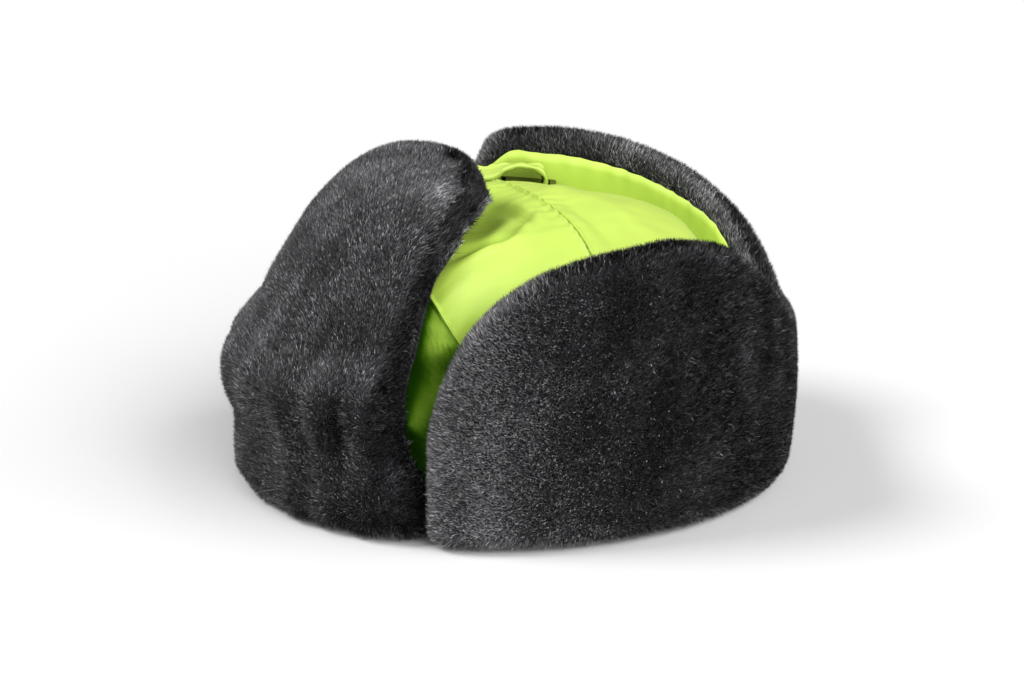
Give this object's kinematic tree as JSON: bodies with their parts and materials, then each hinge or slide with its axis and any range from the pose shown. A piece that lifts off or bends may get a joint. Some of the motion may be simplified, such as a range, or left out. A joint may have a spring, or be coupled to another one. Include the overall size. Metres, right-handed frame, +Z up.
{
  "type": "winter hat (padded trapper hat with fur front flap and ear and nape flap folded up)",
  "caption": "Padded winter trapper hat with its fur front flap and its ear and nape flap folded up, and a chin strap and buckle.",
  "frame": {"origin": "centre of the hat's box on the surface it stands on, in the plane of its rim", "axes": "+Z up through the crown, -Y towards the forehead, +X towards the wearer's left"},
  "size_m": [0.2298, 0.2594, 0.1478],
  "materials": {
    "shell_cloth": "matt",
    "faux_fur": "matt",
    "webbing": "matt",
    "buckle_plastic": "gloss"
  },
  "bodies": {
    "root": {"side_band": "shell_cloth", "crown_front_panel": "shell_cloth", "crown_rear_panel": "shell_cloth", "ear_nape_flap_fur": "faux_fur", "ear_nape_flap_facing": "shell_cloth", "front_flap_fur": "faux_fur", "front_flap_facing": "shell_cloth", "chin_strap_long": "webbing", "chin_strap_short": "webbing", "strap_buckle": "buckle_plastic"}
  },
  "joints": []
}
